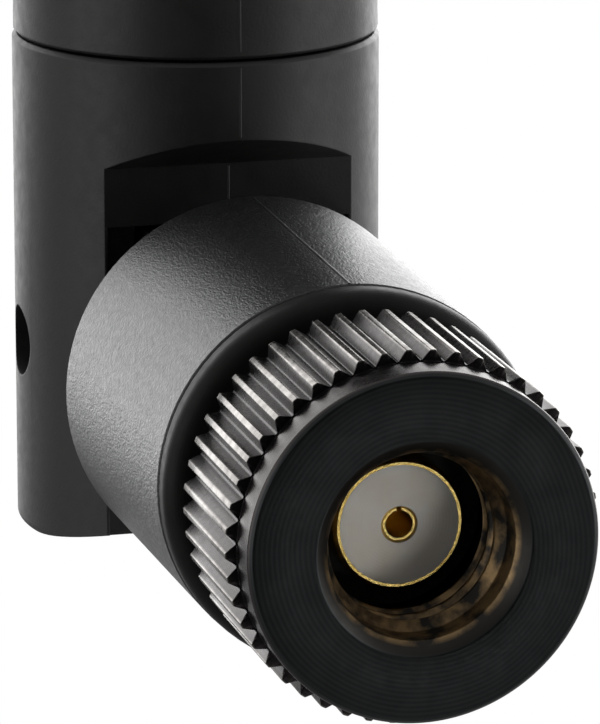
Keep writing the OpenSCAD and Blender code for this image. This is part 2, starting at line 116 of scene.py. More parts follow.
# place, width and power of each light
SIDE_LIGHTS = {
    "light_left": ((-0.60, -0.10, 0.05), 0.5, 0.72),
    "light_right": ((0.60, -0.22, 0.05), 0.6, 1.5),
    "light_back": ((0.55, 0.50, 0.10), 0.5, 2.6),
}
FILL_LIGHT = ((0.40, -0.50, -0.32), 0.22, 2.9)
# a small bright card that the end of the plug mirrors towards the lens
CARD_DISTANCE = 0.6
CARD_WIDTH = 0.07
CARD_POWER = 0.06

world = bpy.data.worlds.new("backdrop")
bpy.context.scene.world = world
world.use_nodes = True
room = world.node_tree
room_light = room.nodes["Background"]
room_light.inputs["Strength"].default_value = BACKDROP_STRENGTH
seen_white = room.nodes.new("ShaderNodeBackground")
seen_white.inputs["Color"].default_value = (1.0, 1.0, 1.0, 1.0)
look_way = room.nodes.new("ShaderNodeTexCoord")
look_parts = room.nodes.new("ShaderNodeSeparateXYZ")
front_to_back = room.nodes.new("ShaderNodeMapRange")
front_to_back.inputs["From Min"].default_value = -1.0
ramp = room.nodes.new("ShaderNodeValToRGB")
ramp.color_ramp.interpolation = "EASE"
for place, light in ROOM_LIGHT[1:-1]:
    ramp.color_ramp.elements.new(place)
for stop, (place, light) in zip(ramp.color_ramp.elements, ROOM_LIGHT):
    stop.position = place
    stop.color = (light, light, light, 1.0)
ray = room.nodes.new("ShaderNodeLightPath")
either = room.nodes.new("ShaderNodeMixShader")
room.links.new(look_way.outputs["Generated"], look_parts.inputs["Vector"])
room.links.new(look_parts.outputs["Y"], front_to_back.inputs["Value"])
room.links.new(front_to_back.outputs["Result"], ramp.inputs["Fac"])
room.links.new(ramp.outputs["Color"], room_light.inputs["Color"])
room.links.new(ray.outputs["Is Camera Ray"], either.inputs["Fac"])
room.links.new(room_light.outputs["Background"], either.inputs[1])
room.links.new(seen_white.outputs["Background"], either.inputs[2])
room.links.new(either.outputs["Shader"], room.nodes["World Output"].inputs["Surface"])

table_mesh = bpy.data.meshes.new("table")
table_mesh.from_pydata(
    [(-TABLE_SIZE, TABLE_FRONT, -TABLE_DROP), (TABLE_SIZE, TABLE_FRONT, -TABLE_DROP),
     (TABLE_SIZE, TABLE_SIZE, -TABLE_DROP), (-TABLE_SIZE, TABLE_SIZE, -TABLE_DROP)],
    [], [(0, 1, 2, 3)],
)
table = bpy.data.objects.new("table", table_mesh)
bpy.context.scene.collection.objects.link(table)
table_paint = bpy.data.materials.new("table_white_with_painted_glow")
table_paint.use_nodes = True
paint_tree = table_paint.node_tree
paint = paint_tree.nodes["Principled BSDF"]
paint.inputs["Base Color"].default_value = TABLE_PAINTED_SHADE_GREY
paint.inputs["Roughness"].default_value = TABLE_ROUGHNESS
paint.inputs["Emission Color"].default_value = (1.0, 1.0, 1.0, 1.0)
table_place = paint_tree.nodes.new("ShaderNodeTexCoord")
table_parts = paint_tree.nodes.new("ShaderNodeSeparateXYZ")
table_away = paint_tree.nodes.new("ShaderNodeMath")
table_away.operation = "ABSOLUTE"
table_aside = paint_tree.nodes.new("ShaderNodeMath")
table_aside.operation = "MULTIPLY_ADD"
table_aside.inputs[1].default_value = -TABLE_PAINTED_GLOW_LOST_ASIDE
# painted glow: the table gives out light that grows towards its far part, a painted pool of light
painted_glow_pool = paint_tree.nodes.new("ShaderNodeMapRange")
painted_glow_pool.inputs["From Min"].default_value = TABLE_PAINTED_GLOW_FROM
painted_glow_pool.inputs["From Max"].default_value = TABLE_PAINTED_GLOW_TO
painted_glow_pool.inputs["To Max"].default_value = TABLE_PAINTED_GLOW
paint_tree.links.new(table_place.outputs["Object"], table_parts.inputs["Vector"])
paint_tree.links.new(table_parts.outputs["X"], table_away.inputs[0])
paint_tree.links.new(table_away.outputs["Value"], table_aside.inputs[0])
paint_tree.links.new(table_parts.outputs["Y"], table_aside.inputs[2])
paint_tree.links.new(table_aside.outputs["Value"], painted_glow_pool.inputs["Value"])
paint_tree.links.new(painted_glow_pool.outputs["Result"], paint.inputs["Emission Strength"])
glow = paint_tree.nodes.new("ShaderNodeEmission")
glow.inputs["Color"].default_value = (1.0, 1.0, 1.0, 1.0)
# the camera sees plain white, and all other rays see the grey with its painted glow
table_ray = paint_tree.nodes.new("ShaderNodeLightPath")
table_mix = paint_tree.nodes.new("ShaderNodeMixShader")
paint_tree.links.new(table_ray.outputs["Is Camera Ray"], table_mix.inputs["Fac"])
paint_tree.links.new(paint.outputs["BSDF"], table_mix.inputs[1])
paint_tree.links.new(glow.outputs["Emission"], table_mix.inputs[2])
paint_tree.links.new(table_mix.outputs["Shader"], paint_tree.nodes["Material Output"].inputs["Surface"])
table_mesh.materials.append(table_paint)


def soft_light(name, place, width, power):
    """A square soft light that looks at the hinge."""
    light = bpy.data.objects.new(name, bpy.data.lights.new(name, "AREA"))
    light.data.size = width
    light.data.energy = power
    light.location = place
    light.rotation_euler = (light.location - hinge).to_track_quat("Z", "Y").to_euler()
    light.visible_camera = False
    bpy.context.scene.collection.objects.link(light)
    return light


for light_name, (place, width, power) in SIDE_LIGHTS.items():
    soft_light(light_name, place, width, power)
fill = soft_light("light_fill", *FILL_LIGHT)
fill.visible_glossy = False
mirrored = (camera.location * Vector((-1, 1, -1))).normalized()
soft_light("light_card", mirrored * CARD_DISTANCE, CARD_WIDTH, CARD_POWER)


# ---------------------------------------------------------------- connector body
# The outer conductor, its swivel flange and the crimp neck, turned in one piece from brass bar and
# gold plated. The plating keeps the fine rings that the tool left. The crimp is plated too.
GOLD = (1.0, 0.76, 0.27)
GOLD_DEEP = (0.92, 0.63, 0.18)
GOLD_ROUGHNESS = (0.17, 0.27)
TURNING_PITCH_MM = 0.05
TURNING_SHARE = 0.1


def finish(name, colour, roughness, metallic=0.0):
    """A principled material: returns it, its node tree and its shader. Its colour and roughness are
    the plain ones, for the material as a whole, and maps linked to them later vary them."""
    made = bpy.data.materials.new(name)
    made.use_nodes = True
    shader = made.node_tree.nodes["Principled BSDF"]
    shader.inputs["Base Color"].default_value = (*colour, 1.0)
    shader.inputs["Roughness"].default_value = roughness
    shader.inputs["Metallic"].default_value = metallic
    return made, made.node_tree, shader


def on_piece(tree, stretch=(1.0, 1.0, 1.0)):
    """The place on the piece in millimetres, each axis multiplied by its stretch."""
    where = tree.nodes.new("ShaderNodeTexCoord")
    scaled = tree.nodes.new("ShaderNodeMapping")
    scaled.inputs["Scale"].default_value = [part / MM for part in stretch]
    tree.links.new(where.outputs["Object"], scaled.inputs["Vector"])
    return scaled.outputs["Vector"]


def grain(tree, place, size_mm, detail=3.0):
    """Cloudy noise from 0 to 1 whose grains are about size_mm across."""
    noise = tree.nodes.new("ShaderNodeTexNoise")
    noise.inputs["Scale"].default_value = 1.0 / size_mm
    noise.inputs["Detail"].default_value = detail
    tree.links.new(place, noise.inputs["Vector"])
    return noise.outputs["Fac"]


def ranged(tree, value, low, high, from_low=0.3, from_high=0.7):
    """The value carried linearly from its own range to the range low to high."""
    ranger = tree.nodes.new("ShaderNodeMapRange")
    ranger.inputs["From Min"].default_value = from_low
    ranger.inputs["From Max"].default_value = from_high
    ranger.inputs["To Min"].default_value = low
    ranger.inputs["To Max"].default_value = high
    tree.links.new(value, ranger.inputs["Value"])
    return ranger.outputs["Result"]


def maths(tree, operation, first, second=None):
    """One step of arithmetic on sockets or plain numbers."""
    step = tree.nodes.new("ShaderNodeMath")
    step.operation = operation
    for slot, value in zip(step.inputs, (first, second)):
        if isinstance(value, (int, float)):
            slot.default_value = value
        elif value is not None:
            tree.links.new(value, slot)
    return step.outputs["Value"]


def over(tree, below, share, colour):
    """Lays a colour over the colour below, as far as share goes from 0 to 1."""
    mixer = tree.nodes.new("ShaderNodeMix")
    mixer.data_type = "RGBA"
    mixer.inputs["B"].default_value = (*colour, 1.0)
    tree.links.new(share, mixer.inputs["Factor"])
    if isinstance(below, tuple):
        mixer.inputs["A"].default_value = (*below, 1.0)
    else:
        tree.links.new(below, mixer.inputs["A"])
    return mixer.outputs["Result"]


def two_tone(tree, shader, share, first, second):
    """Base colour that goes from the first to the second as share goes from 0 to 1."""
    tree.links.new(over(tree, first, share, second), shader.inputs["Base Color"])


def relief(tree, shader, height, depth_mm, soft_edge_mm=0.0):
    """Raises the surface by height times depth_mm. A soft edge also rounds the corners' shading."""
    bump = tree.nodes.new("ShaderNodeBump")
    bump.inputs["Distance"].default_value = depth_mm * MM
    tree.links.new(height, bump.inputs["Height"])
    if soft_edge_mm:
        rounded = tree.nodes.new("ShaderNodeBevel")
        rounded.samples = 4
        rounded.inputs["Radius"].default_value = soft_edge_mm * MM
        tree.links.new(rounded.outputs["Normal"], bump.inputs["Normal"])
    tree.links.new(bump.outputs["Normal"], shader.inputs["Normal"])


def from_axis(tree, place, first, second):
    """Distance from an axis, from the two parts of the place that are square to it."""
    parts = tree.nodes.new("ShaderNodeSeparateXYZ")
    tree.links.new(place, parts.inputs["Vector"])
    square = [maths(tree, "POWER", parts.outputs[axis], 2.0) for axis in (first, second)]
    return maths(tree, "SQRT", maths(tree, "ADD", *square))


def lathe_rings(tree, place, pitch_mm):
    """Fine rings round the connector axis, on faces and on walls, as a turning tool leaves them:
    the sine of the distance out plus the distance along, which wanders by a few pitches."""
    parts = tree.nodes.new("ShaderNodeSeparateXYZ")
    tree.links.new(place, parts.inputs["Vector"])
    out = maths(tree, "ADD", from_axis(tree, place, "X", "Z"), parts.outputs["Y"])
    wander = maths(tree, "MULTIPLY", grain(tree, place, size_mm=4.0, detail=0.0), 3.0 * pitch_mm)
    turns = maths(tree, "MULTIPLY", maths(tree, "ADD", out, wander), 2.0 * math.pi / pitch_mm)
    return maths(tree, "SINE", turns)


def dress(node, material):
    """Gives a carried-over CAD node its material."""
    nodes[node].data.materials.clear()
    nodes[node].data.materials.append(material)


gold, tree, shader = finish("gold_plate", GOLD, roughness=0.2, metallic=1.0)
place = on_piece(tree)
two_tone(tree, shader, ranged(tree, grain(tree, place, size_mm=0.6), 0.0, 1.0), GOLD_DEEP, GOLD)
polish = ranged(tree, grain(tree, place, size_mm=0.12), *GOLD_ROUGHNESS)
tree.links.new(polish, shader.inputs["Roughness"])
turned = maths(tree, "MULTIPLY", lathe_rings(tree, place, TURNING_PITCH_MM), TURNING_SHARE)
turned = maths(tree, "ADD", turned, grain(tree, place, size_mm=0.2))
relief(tree, shader, turned, depth_mm=0.008, soft_edge_mm=0.02)
for node in ("connector_body", "socket_contact", "crimp_ferrule"):
    dress(node, gold)


# ---------------------------------------------------------------- insulator
# The white disc in the plug is the end of a long rod of natural fluoropolymer, turned to size and
# pressed into the gold shell. It is waxy: light soaks in and comes out a little warmer.
WAX_WHITE = (0.80, 0.77, 0.72)
WAX_WARM = (0.74, 0.68, 0.58)
WAX_ROUGHNESS = (0.34, 0.5)
# how much of the light soaks in, how far each colour of it goes, and the unit of that distance
WAX_SHARE = 0.45
WAX_REACH = (1.0, 0.8, 0.6)
WAX_DEPTH_MM = 0.6

wax, tree, shader = finish("waxy_white", WAX_WHITE, roughness=0.42)
shader.inputs["Subsurface Weight"].default_value = WAX_SHARE
shader.inputs["Subsurface Radius"].default_value = WAX_REACH
shader.inputs["Subsurface Scale"].default_value = WAX_DEPTH_MM * MM
place = on_piece(tree)
two_tone(tree, shader, ranged(tree, grain(tree, place, size_mm=1.4), 0.0, 1.0), WAX_WHITE, WAX_WARM)
polish = ranged(tree, grain(tree, place, size_mm=0.2), *WAX_ROUGHNESS)
tree.links.new(polish, shader.inputs["Roughness"])
relief(tree, shader, lathe_rings(tree, place, pitch_mm=0.11), depth_mm=0.001, soft_edge_mm=0.03)
dress("dielectric_insert", wax)


# ---------------------------------------------------------------- gasket and retaining ring
# A flat silicone ring lies at the bottom of the nut, and a sprung steel C ring behind it keeps the
# nut on the connector while letting it turn.
RUBBER = (0.022, 0.016, 0.013)
RUBBER_DUST = (0.05, 0.042, 0.035)
STEEL = (0.36, 0.355, 0.35)
STEEL_DARK = (0.20, 0.195, 0.19)
STEEL_ROUGHNESS = (0.26, 0.46)

rubber, tree, shader = finish("silicone_rubber", RUBBER, roughness=0.55)
place = on_piece(tree)
two_tone(tree, shader, ranged(tree, grain(tree, place, size_mm=0.35), 0.0, 1.0), RUBBER, RUBBER_DUST)
relief(tree, shader, grain(tree, place, size_mm=0.08), depth_mm=0.006, soft_edge_mm=0.05)
dress("sealing_gasket", rubber)

steel, tree, shader = finish("drawn_steel", STEEL, roughness=0.34, metallic=1.0)
place = on_piece(tree, stretch=(0.15, 1.0, 1.0))
two_tone(tree, shader, ranged(tree, grain(tree, place, size_mm=0.25), 0.0, 1.0), STEEL_DARK, STEEL)
polish = ranged(tree, grain(tree, place, size_mm=0.1), *STEEL_ROUGHNESS)
tree.links.new(polish, shader.inputs["Roughness"])
relief(tree, shader, grain(tree, place, size_mm=0.05), depth_mm=0.003, soft_edge_mm=0.04)
dress("retaining_ring", steel)


# ---------------------------------------------------------------- coupling nut
# Turned from brass bar: straight knurl, plain nose with a chamfered rim, a clear lead-in and the
# 1/4-36 thread inside, then the groove for the retaining ring. Plated with black nickel, which is
# rubbed off the crests and thin and brown in the bore. That brown is also a painted warm reflection of
# the white insert, and the roots of the knurl carry painted shade.
NUT_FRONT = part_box("coupling_nut")[0].y / MM
NUT_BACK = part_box("coupling_nut")[1].y / MM
NOSE_LENGTH = 1.5
KNURL_LENGTH = 5.8
CREST_R = 6.4
ROOT_R = 6.04
NOSE_R = 5.99
TAIL_R = 5.94
RIM_CHAMFER = 0.16
MOUTH_R = 3.68
MOUTH_DEPTH = 0.45
LEAD_IN_R = 3.2
LEAD_IN_DEPTH = 1.3
THREAD_R = 2.85
THREAD_DEPTH = 0.33
THREAD_PITCH = 25.4 / 36
# depth of the groove against the distance from the middle of the crest, in pitches
THREAD_SLOPE = 2.4
THREAD_LAND = 0.2
THREAD_FADE = 0.1
THREAD_START = NUT_FRONT + LEAD_IN_DEPTH + LEAD_IN_R - THREAD_R
THREAD_END = -0.1
UNDERCUT_R = 3.3
UNDERCUT_END = 2.6
BORE_R = 3.05
GROOVE_R = 3.45
GROOVE = (2.8, 3.3)
TEETH = 48
TEETH_TURN = math.radians(1.5)
# half of one tooth: share of the pitch from its middle, and height from root to crest
TOOTH_PLACE = [0.0, 0.06, 0.10, 0.12, 0.14, 0.28, 0.42, 0.445, 0.47]
TOOTH_HEIGHT = [1.0, 1.0, 0.995, 0.97, 0.91, 0.49, 0.07, 0.02, 0.0]
CORNER_REACH = 0.045
THREAD_ROWS = 34
NICKEL = (0.046, 0.048, 0.049)
NICKEL_DARK = (0.032, 0.034, 0.035)
NICKEL_SIDE = (0.058, 0.053, 0.052)
# painted shade down between the teeth of the knurl
NICKEL_ROOT_PAINTED_SHADE = (0.034, 0.031, 0.030)
NICKEL_RUBBED = (0.42, 0.40, 0.38)
NICKEL_MOUTH = (0.036, 0.034, 0.031)
# brass through thin plating, and a painted warm reflection of the white insert
NICKEL_THIN_AND_PAINTED_REFLECTION = (0.40, 0.27, 0.135)
NICKEL_ROUGHNESS = (0.34, 0.42)
SIDE_SMOOTHER = 0.1
LATHE_SHARE = 0.35
# the part of the noise's range over which the brown of the bore comes in, thin plating and painted
# reflection both
BROWN_SHARE = (0.40, 0.62)
# distances from the axis between which one shade gives way to the next
SIDE_BAND = (NOSE_R - 0.08, NOSE_R - 0.04)
CREST_BAND = (CREST_R - 0.07, CREST_R - 0.01)
OFF_NOSE_BAND = (NOSE_R + 0.005, ROOT_R)
ROOT_SHADE_BAND = (ROOT_R, ROOT_R + 0.25)
MOUTH_BAND = (MOUTH_R - 0.1, MOUTH_R)
BORE_BAND = (LEAD_IN_R + 0.02, LEAD_IN_R + 0.2)


def softened(outline, reach):
    """Each corner of a closed outline becomes three points of a curve that starts and ends up to
    reach away from it along its two edges, or a third of the way along a short edge."""
    before = np.roll(outline, 1, axis=0) - outline
    after = np.roll(outline, -1, axis=0) - outline
    steps = []
    for edge in (before, after):
        length = np.linalg.norm(edge, axis=1, keepdims=True)
        steps.append(edge / length * np.minimum(reach, length / 3))
    first, last = outline + steps[0], outline + steps[1]
    middle = 0.25 * first + 0.5 * outline + 0.25 * last
    return np.stack([first, middle, last], axis=1).reshape(-1, 2)


def solid_from_grid(name, points, ring_of_rows, sharp_degrees=35.0):
    """A closed mesh from a grid of points in millimetres. Columns always join up into rings. Rows
    join up too if ring_of_rows, and otherwise the first and last row are closed with a flat face.
    The volume's sign tells which way the faces have to turn."""
    rows, columns = points.shape[:2]
    index = np.arange(rows * columns).reshape(rows, columns)
    if ring_of_rows:
        here, ahead = index, np.roll(index, -1, axis=0)
    else:
        here, ahead = index[:-1], index[1:]
    quads = np.stack(
        [here, np.roll(here, -1, axis=1), np.roll(ahead, -1, axis=1), ahead], axis=-1
    ).reshape(-1, 4)
    flat = points.reshape(-1, 3)
    centred = flat - flat.mean(axis=0)
    a, b, c, d = (centred[quads[:, corner]] for corner in range(4))
    volume = np.sum(a * np.cross(b, c)) + np.sum(a * np.cross(c, d))
    faces = (quads if volume > 0 else quads[:, ::-1]).tolist()
    if not ring_of_rows:
        ends = [index[0][::-1].tolist(), index[-1].tolist()]
        faces += ends if volume > 0 else [end[::-1] for end in ends]
    mesh = bpy.data.meshes.new(name)
    mesh.from_pydata((flat * MM).tolist(), [], faces)
    mesh.polygons.foreach_set("use_smooth", np.ones(len(faces), bool))
    mesh.set_sharp_from_angle(angle=math.radians(sharp_degrees))
    piece = bpy.data.objects.new(name, mesh)
    bpy.context.scene.collection.objects.link(piece)
    return piece


def nut_outline():
    """The nut cut along its axis: place along the axis against radius, as a closed outline that
    runs forward over the knurl and the nose, and back through the bore."""
    knurl_front = NUT_FRONT + NOSE_LENGTH
    knurl_back = knurl_front + KNURL_LENGTH
    turned = np.array([
        (NUT_BACK, BORE_R), (NUT_BACK, TAIL_R), (knurl_back, TAIL_R), (knurl_back, CREST_R),
        (knurl_front, CREST_R), (knurl_front, NOSE_R), (NUT_FRONT + RIM_CHAMFER, NOSE_R),
        (NUT_FRONT, NOSE_R - RIM_CHAMFER), (NUT_FRONT, MOUTH_R), (NUT_FRONT + MOUTH_DEPTH, LEAD_IN_R),
        (NUT_FRONT + LEAD_IN_DEPTH, LEAD_IN_R), (THREAD_START, THREAD_R), (THREAD_END, THREAD_R),
        (THREAD_END, UNDERCUT_R), (UNDERCUT_END, UNDERCUT_R), (UNDERCUT_END, BORE_R),
        (GROOVE[0], BORE_R), (GROOVE[0], GROOVE_R), (GROOVE[1], GROOVE_R), (GROOVE[1], BORE_R),
    ])
    outline = softened(turned, CORNER_REACH)
    on_wall = np.isclose(outline[:, 1], THREAD_R) & (outline[:, 0] < THREAD_END - 2 * CORNER_REACH)
    first = np.flatnonzero(on_wall)[0]
    threaded = np.linspace(outline[first], outline[first + 1], THREAD_ROWS)[1:-1]
    return np.insert(outline, first + 1, threaded, axis=0)


def tooth_columns():
    """Angles of the grid's columns: each tooth has the same places either side of its middle."""
    half = np.array(TOOTH_PLACE)
    places = np.concatenate([-half[:0:-1], half, [0.5]])
    whole = (np.arange(TEETH)[:, None] + places[None, :]).ravel()
    return whole * 2 * math.pi / TEETH + TEETH_TURN


def tooth_height(turn):
    """Height of the knurl from root to crest at an angle."""
    along = (turn - TEETH_TURN) * TEETH / (2 * math.pi)
    from_middle = np.abs(along - np.round(along))
    return np.interp(from_middle, TOOTH_PLACE, TOOTH_HEIGHT)


def nut_points():
    """The outline carried round the axis. Where it stands above the nose, the knurl scales how far
    it stands out; where it is the thread's wall, a helix of 60 degree grooves is cut into it."""
    outline = nut_outline()
    turn = tooth_columns()[None, :]
    along, radius = outline[:, :1], outline[:, 1:]
    share = np.clip((radius - NOSE_R) / (CREST_R - NOSE_R), 0, 1)
    crest = ROOT_R + (CREST_R - ROOT_R) * tooth_height(turn)
    radius = np.where(share > 0, NOSE_R + share * (crest - NOSE_R), radius)
    phase = along / THREAD_PITCH - turn / (2 * math.pi)
    groove = np.clip(THREAD_SLOPE * np.abs(phase - np.round(phase)) - THREAD_LAND, 0, 1)
    fade_in = np.clip((along - THREAD_START) / THREAD_FADE, 0, 1)
    fade_out = np.clip((THREAD_END - THREAD_FADE / 2 - along) / THREAD_FADE, 0, 1)
    on_wall = np.abs(radius - THREAD_R) < 1e-6
    radius = np.where(on_wall, radius + THREAD_DEPTH * groove * fade_in * fade_out, radius)
    along = np.broadcast_to(along, radius.shape)
    return np.stack([radius * np.cos(turn), along, radius * np.sin(turn)], axis=-1)


nut = solid_from_grid("knurled_nut", nut_points(), ring_of_rows=True)

nickel, tree, shader = finish("black_nickel", NICKEL, roughness=0.3, metallic=1.0)
place = on_piece(tree)
from_middle = from_axis(tree, place, "X", "Z")
rings = lathe_rings(tree, place, pitch_mm=0.17)
clouds = ranged(tree, grain(tree, place, size_mm=1.1, detail=4.0), 0.2, 0.8)
ringed = maths(tree, "ADD", clouds, maths(tree, "MULTIPLY", rings, LATHE_SHARE))
on_side = ranged(tree, from_middle, 0.0, 1.0, *SIDE_BAND)
on_crest = ranged(tree, from_middle, 0.0, 1.0, *CREST_BAND)
rubbed = ranged(tree, grain(tree, place, size_mm=0.5, detail=5.0), 0.35, 1.0)
worn = maths(tree, "MULTIPLY", on_crest, rubbed)
# painted shade: darker towards the roots of the knurl, between its teeth, leaving out the nose
off_nose = ranged(tree, from_middle, 0.0, 1.0, *OFF_NOSE_BAND)
painted_root_shade = maths(tree, "MULTIPLY", off_nose, ranged(tree, from_middle, 1.0, 0.0, *ROOT_SHADE_BAND))
in_mouth = ranged(tree, from_middle, 1.0, 0.0, *MOUTH_BAND)
in_bore = ranged(tree, from_middle, 1.0, 0.0, *BORE_BAND)
brown = grain(tree, place, size_mm=0.8, detail=4.0)
# brown in the bore: brass through thin plating, and a painted reflection of the insert's warm light
stain_and_painted_reflection = maths(tree, "MULTIPLY", in_bore, ranged(tree, brown, 0.0, 0.8, *BROWN_SHARE))
plate = over(tree, NICKEL_DARK, ringed, NICKEL)
plate = over(tree, plate, in_mouth, NICKEL_MOUTH)
plate = over(tree, plate, stain_and_painted_reflection, NICKEL_THIN_AND_PAINTED_REFLECTION)
plate = over(tree, plate, on_side, NICKEL_SIDE)
plate = over(tree, plate, painted_root_shade, NICKEL_ROOT_PAINTED_SHADE)
plate = over(tree, plate, worn, NICKEL_RUBBED)
tree.links.new(plate, shader.inputs["Base Color"])
polish = ranged(tree, grain(tree, place, size_mm=0.3, detail=4.0), *NICKEL_ROUGHNESS)
smoother = maths(tree, "MULTIPLY", on_side, SIDE_SMOOTHER)
tree.links.new(maths(tree, "SUBTRACT", polish, smoother), shader.inputs["Roughness"])
relief(tree, shader, rings, depth_mm=0.0005)
nut.data.materials.append(nickel)
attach(nut, "nut")
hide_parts("coupling_nut")


# ---------------------------------------------------------------- front collar
# A smooth injection-moulded ring that snaps into the mouth of the elbow and holds the connector's
# flange, so that the elbow can swivel. The bush that guides the cable is the same plastic.
SATIN_BLACK = (0.0085, 0.0083, 0.0080)
SATIN_GREY = (0.013, 0.0126, 0.0122)
SATIN_ROUGHNESS = (0.38, 0.48)
SATIN_SHINE = 0.12

satin, tree, shader = finish("satin_collar", SATIN_BLACK, roughness=0.28)
shader.inputs["Specular IOR Level"].default_value = SATIN_SHINE
place = on_piece(tree)
two_tone(tree, shader, ranged(tree, grain(tree, place, size_mm=1.8), 0.0, 1.0), SATIN_BLACK, SATIN_GREY)
polish = ranged(tree, grain(tree, place, size_mm=0.3, detail=4.0), *SATIN_ROUGHNESS)
tree.links.new(polish, shader.inputs["Roughness"])
relief(tree, shader, grain(tree, place, size_mm=0.09, detail=4.0), depth_mm=0.002, soft_edge_mm=0.06)
dress("front_collar", satin)
dress("cable_bush", satin)


# ---------------------------------------------------------------- elbow
# One moulding: the barrel that turns on the connector and the tongue that fits between the ears.
# The mould was spark eroded, which leaves a fine dry grain, and it parts along the top and bottom.
GRAIN_BLACK = (0.008, 0.0082, 0.0086)
# grey of the grain's specks, which also stand in for painted glints
GRAIN_GREY_AND_PAINTED_GLINT = (0.027, 0.0275, 0.0285)
GRAIN_ROUGHNESS = (0.28, 0.38)
GRAIN_MM = 0.12
SPECK_MM = 0.6 * GRAIN_MM
# the part of the noise's range over which the grey specks come in, which are grain and painted glints
# both
SPECK_SHARE = (0.42, 0.72)
GRAIN_STRETCH = 0.55
# the barrel between the edges at its two ends
BARREL_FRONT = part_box("front_collar")[1].y / MM - 1.5
BARREL_BACK = hinge.y / MM - 8.45
BARREL_FRONT_R = 6.78
BARREL_BACK_R = 6.97
# the mould line across: its places as shares of its width, and its lift as shares of its height
LINE_ACROSS = [-0.5, -0.28, 0.0, 0.28, 0.5]
LINE_LIFT = [-1.0, 0.62, 1.0, 0.62, -1.0]
BARREL_LINE_WIDTH = 0.16
BARREL_LINE_HEIGHT = 0.03
BARREL_LINE_FADE = 0.35
BARREL_LINE_FROM = BARREL_FRONT + 0.14
BARREL_LINE_TO = BARREL_BACK - 0.2
BARREL_LINE_ROWS = 40


def mould_line(name, route, out_way, across_way, width, height):
    """A low rounded ridge along a route: five points across it, from edge to crest to edge, with
    both edges sunk a little below the surface. Height may change along the route."""
    across = np.array(LINE_ACROSS)[None, :, None] * width
    lift = np.array(LINE_LIFT)[None, :, None] * np.reshape(height, (-1, 1, 1))
    points = route[:, None, :] + across * across_way[:, None, :] + lift * out_way[:, None, :]
    return solid_from_grid(name, points, ring_of_rows=False, sharp_degrees=80.0)


spark, tree, shader = finish("spark_grain", GRAIN_BLACK, roughness=0.34)
place = on_piece(tree, stretch=(1.0, GRAIN_STRETCH, 1.0))
pits = grain(tree, place, GRAIN_MM, detail=6.0)
specks = grain(tree, place, SPECK_MM, detail=2.0)
# grey specks of the grain, which also stand in for painted glints
two_tone(tree, shader, ranged(tree, specks, 0.0, 1.0, *SPECK_SHARE), GRAIN_BLACK, GRAIN_GREY_AND_PAINTED_GLINT)
polish = ranged(tree, grain(tree, place, size_mm=0.22, detail=4.0), *GRAIN_ROUGHNESS)
tree.links.new(polish, shader.inputs["Roughness"])
relief(tree, shader, maths(tree, "ADD", pits, specks), depth_mm=0.02, soft_edge_mm=0.05)
dress("elbow", spark)

barrel_ends = [BARREL_FRONT, BARREL_BACK]
down_barrel = np.linspace(BARREL_LINE_FROM, BARREL_LINE_TO, BARREL_LINE_ROWS)
barrel_r = np.interp(down_barrel, barrel_ends, [BARREL_FRONT_R, BARREL_BACK_R])
line_height = BARREL_LINE_HEIGHT * np.interp(down_barrel, barrel_ends, [1.0, BARREL_LINE_FADE])
for line_name, side in (("elbow_line_top", 1.0), ("elbow_line_bottom", -1.0)):
    route = np.stack([0 * down_barrel, down_barrel, side * barrel_r], axis=-1)
    out_way = np.tile([0.0, 0.0, side], (len(route), 1))
    across_way = np.tile([1.0, 0.0, 0.0], (len(route), 1))
    line = mould_line(line_name, route, out_way, across_way, BARREL_LINE_WIDTH, line_height)
    line.data.materials.append(spark)
    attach(line, "swivel")


# ---------------------------------------------------------------- hinge pins and washers
# Short drawn steel pins, pressed into the ears and sunk below their sides, carry the tongue. A thin
# nylon washer on each side of it gives the hinge its drag.
NYLON = (0.70, 0.69, 0.66)
NYLON_SHADE = (0.60, 0.58, 0.54)

dress("hinge_pin_left", steel)
dress("hinge_pin_right", steel)
nylon, tree, shader = finish("nylon_white", NYLON, roughness=0.45)
place = on_piece(tree)
two_tone(tree, shader, ranged(tree, grain(tree, place, size_mm=0.8), 0.0, 1.0), NYLON, NYLON_SHADE)
relief(tree, shader, grain(tree, place, size_mm=0.1), depth_mm=0.004, soft_edge_mm=0.03)
dress("friction_washer_left", nylon)
dress("friction_washer_right", nylon)


# ---------------------------------------------------------------- yoke and radome
# Two satin black mouldings that press together at the ring joint. Their moulds part along the front
# and the back of the mast, and leave a fine raised line there, in the recess over the elbow too.
SHELL_BLACK = (0.0068, 0.0064, 0.0063)
SHELL_GREY = (0.0105, 0.0100, 0.0096)
SHELL_ROUGHNESS = (0.40, 0.5)
SHELL_WAVES = 2.0
RING_GAP = 0.09
MAST_R = 6.9
RADOME_R = 6.86
TIP_R = 5.1
TIP_ROUND = 2.6
FLAT_FROM_AXIS = 5.05
SHOULDER_HEIGHT = 7.5
SHOULDER_SLOPE = math.radians(33)
SHOULDER_TOP = SHOULDER_HEIGHT + (MAST_R - FLAT_FROM_AXIS) * math.tan(SHOULDER_SLOPE)
YOKE_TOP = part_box("radome")[0].z / MM - RING_GAP
RADOME_TAPER_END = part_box("radome")[1].z / MM - TIP_ROUND
MAST_AXIS_Y = hinge.y / MM
LINE_WIDTH = 0.13
LINE_HEIGHT = 0.022
# heights where the mould lines start and stop, a little inside the edges of the face they run up,
# and their number of rows; the line up the back of the radome leaves out the first few
FRONT_LINE = (SHOULDER_TOP + 0.1, YOKE_TOP - 0.2, 12)
RECESS_LINE = (5.4, SHOULDER_HEIGHT - 0.1, 8)
RADOME_LINE = (YOKE_TOP + 0.4, RADOME_TAPER_END, 60)
BACK_LINE_FROM_ROW = 4

